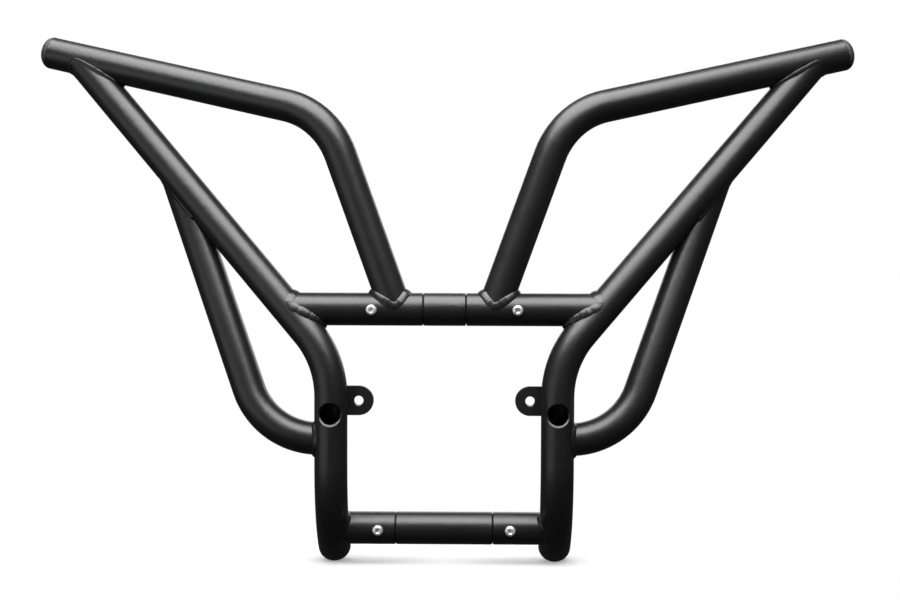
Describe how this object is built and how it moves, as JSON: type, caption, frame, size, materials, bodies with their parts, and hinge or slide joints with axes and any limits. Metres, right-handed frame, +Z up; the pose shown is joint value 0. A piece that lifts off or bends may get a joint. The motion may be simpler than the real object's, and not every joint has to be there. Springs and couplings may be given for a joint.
{
  "type": "atv front bumper",
  "caption": "Front bumper of bent black steel tube: two mirrored wing frames with braces and fixing tabs, joined in the middle by screwed tube joiners.",
  "frame": {"origin": "midway between the two tab holes, on the rear face of the tabs, which is the plane that meets the vehicle's frame", "axes": "+X along the bumper's width, -Y forwards away from the vehicle, +Z up along the straight part of the uprights"},
  "size_m": [0.816, 0.134, 0.5185],
  "materials": {
    "powder_coat": "satin black powder coat",
    "screw_steel": "bright plated steel",
    "dark_steel": "thin dark primer on drawn steel tube",
    "end_plug": "fine matt black moulded plastic"
  },
  "bodies": {
    "root": {"left_main_tube": "powder_coat", "right_main_tube": "powder_coat", "left_wing_tube": "powder_coat", "right_wing_tube": "powder_coat", "left_brace_tube": "powder_coat", "right_brace_tube": "powder_coat", "left_upper_stub": "powder_coat", "right_upper_stub": "powder_coat", "left_lower_stub": "powder_coat", "right_lower_stub": "powder_coat", "left_tab": "powder_coat", "right_tab": "powder_coat", "left_wing_plug": "end_plug", "right_wing_plug": "end_plug", "left_foot_plug": "end_plug", "right_foot_plug": "end_plug", "left_wing_weld": "powder_coat", "right_wing_weld": "powder_coat", "left_leg_weld": "powder_coat", "right_leg_weld": "powder_coat", "left_upper_stub_weld": "powder_coat", "right_upper_stub_weld": "powder_coat", "left_lower_stub_weld": "powder_coat", "right_lower_stub_weld": "powder_coat", "left_brace_top_weld": "powder_coat", "right_brace_top_weld": "powder_coat", "left_brace_foot_weld": "powder_coat", "right_brace_foot_weld": "powder_coat", "left_tab_weld": "powder_coat", "right_tab_weld": "powder_coat", "upper_sleeve": "powder_coat", "lower_sleeve": "powder_coat", "upper_spigot": "dark_steel", "lower_spigot": "dark_steel", "joint_screws": "screw_steel", "joint_nuts": "screw_steel"}
  },
  "joints": []
}
